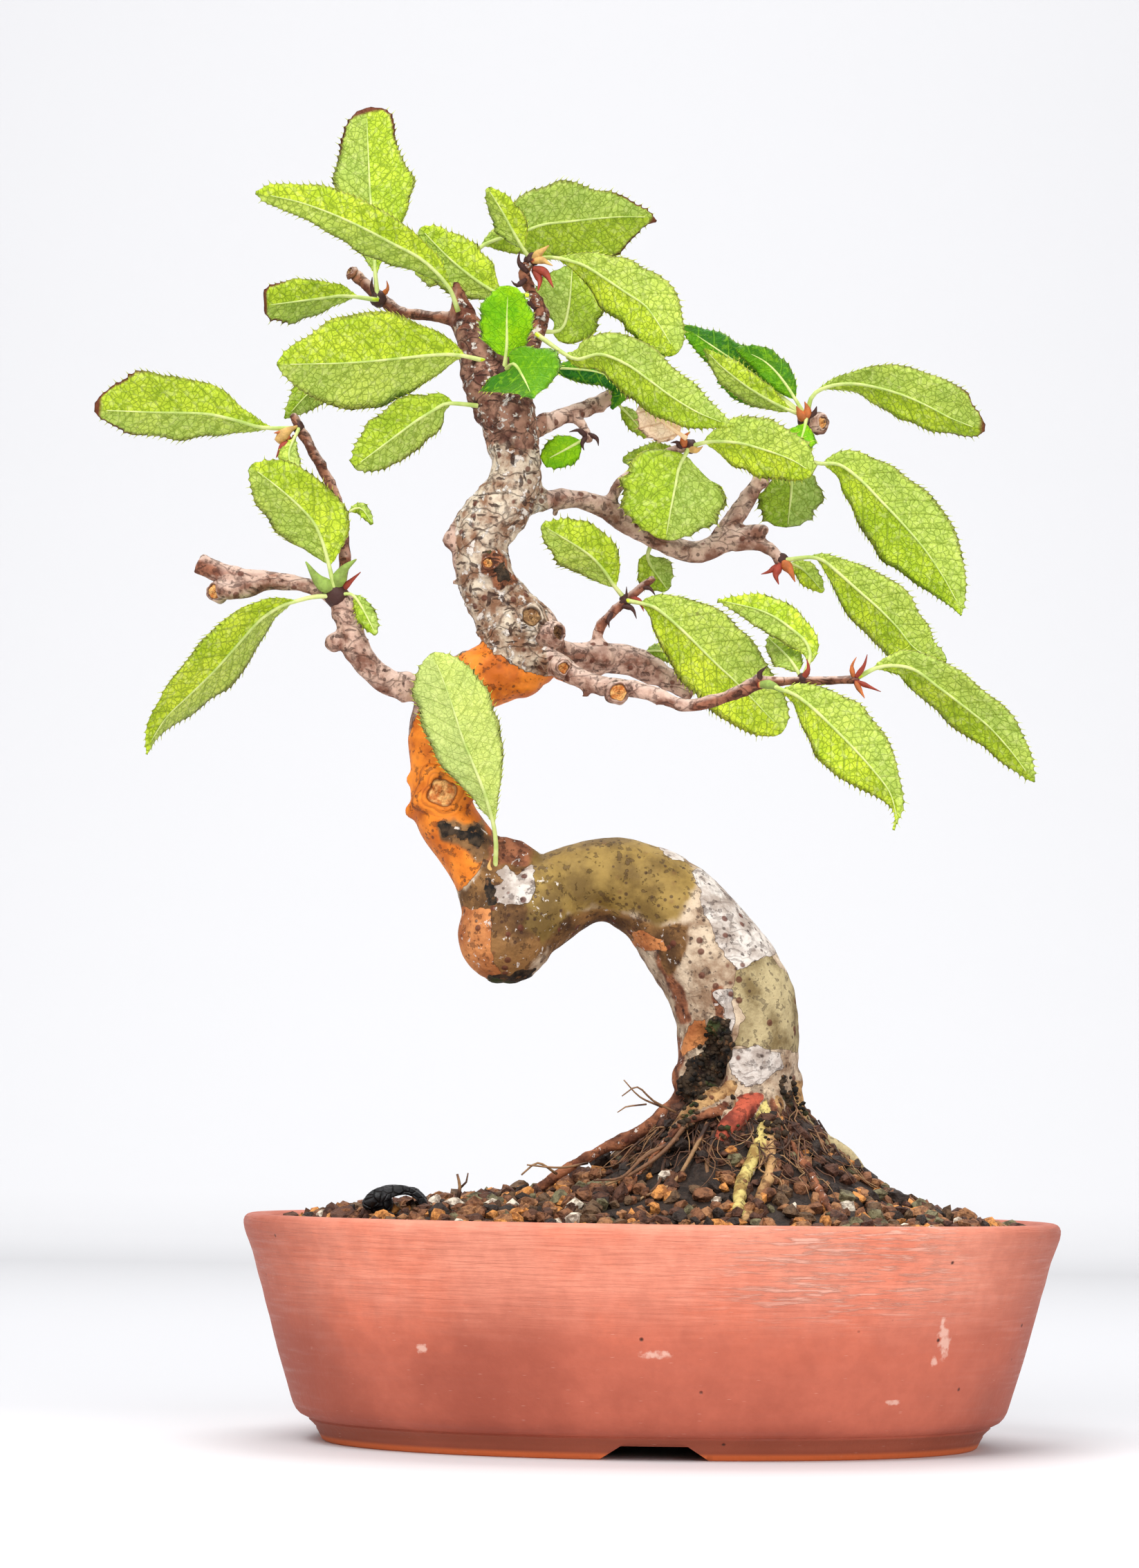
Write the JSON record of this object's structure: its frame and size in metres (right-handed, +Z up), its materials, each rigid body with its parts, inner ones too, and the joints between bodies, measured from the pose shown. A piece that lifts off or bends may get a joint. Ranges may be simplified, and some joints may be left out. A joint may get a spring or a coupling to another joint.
{
  "type": "chinese quince bonsai in an oval terracotta pot",
  "caption": "Curved flowering quince bonsai with exposed roots and sparse toothed leaves, planted in a shallow oval unglazed terracotta pot.",
  "frame": {"origin": "middle of the bounding box, on the surface that the pot's foot stands on", "axes": "+Z up, +X along the pot's length to the viewer's right, -Y towards the tree's front"},
  "size_m": [0.2162, 0.1358, 0.3022],
  "materials": {
    "terracotta": "unglazed, matt, brushed",
    "soil": "granular, matt",
    "bark": "flaking bark",
    "leaf_green": "satin leaf",
    "dead_leaf": "dry",
    "black_bark": "charred, dry",
    "screen_plastic": "moulded mesh"
  },
  "bodies": {
    "root": {"pot": "terracotta", "soil": "soil", "wood": "bark", "bark_chip": "black_bark", "drain_screen_left": "screen_plastic", "drain_screen_right": "screen_plastic", "leaves_crown_left": "leaf_green", "leaf_leader_low": "leaf_green", "leaf_crown_front": "leaf_green", "leaf_leader_back": "leaf_green", "leaves_crown_tip": "leaf_green", "leaves_crown_back": "leaf_green", "leaf_crown_right": "leaf_green", "leaf_crown_dark": "leaf_green", "leaves_trunk_top": "leaf_green", "leaf_trunk_left_big": "leaf_green", "leaf_trunk_left_back": "leaf_green", "leaf_trunk_left_low": "leaf_green", "leaves_right_tip": "leaf_green", "leaves_right_rise": "leaf_green", "leaves_twig_tip": "leaf_green", "leaf_top_small": "leaf_green", "leaf_top_slender": "leaf_green", "leaves_right_end": "leaf_green", "leaf_shoot_end": "leaf_green", "leaves_shoot_middle": "leaf_green", "leaves_shoot_upper": "leaf_green", "leaves_stub_twig": "leaf_green", "leaf_branch_hanging": "leaf_green", "leaf_stub_small": "leaf_green", "leaf_elbow": "leaf_green", "leaves_left_fork": "leaf_green", "leaves_left_shoot_tip": "leaf_green", "leaf_left_shoot_curl": "leaf_green", "dead_leaf": "dead_leaf"}
  },
  "joints": []
}
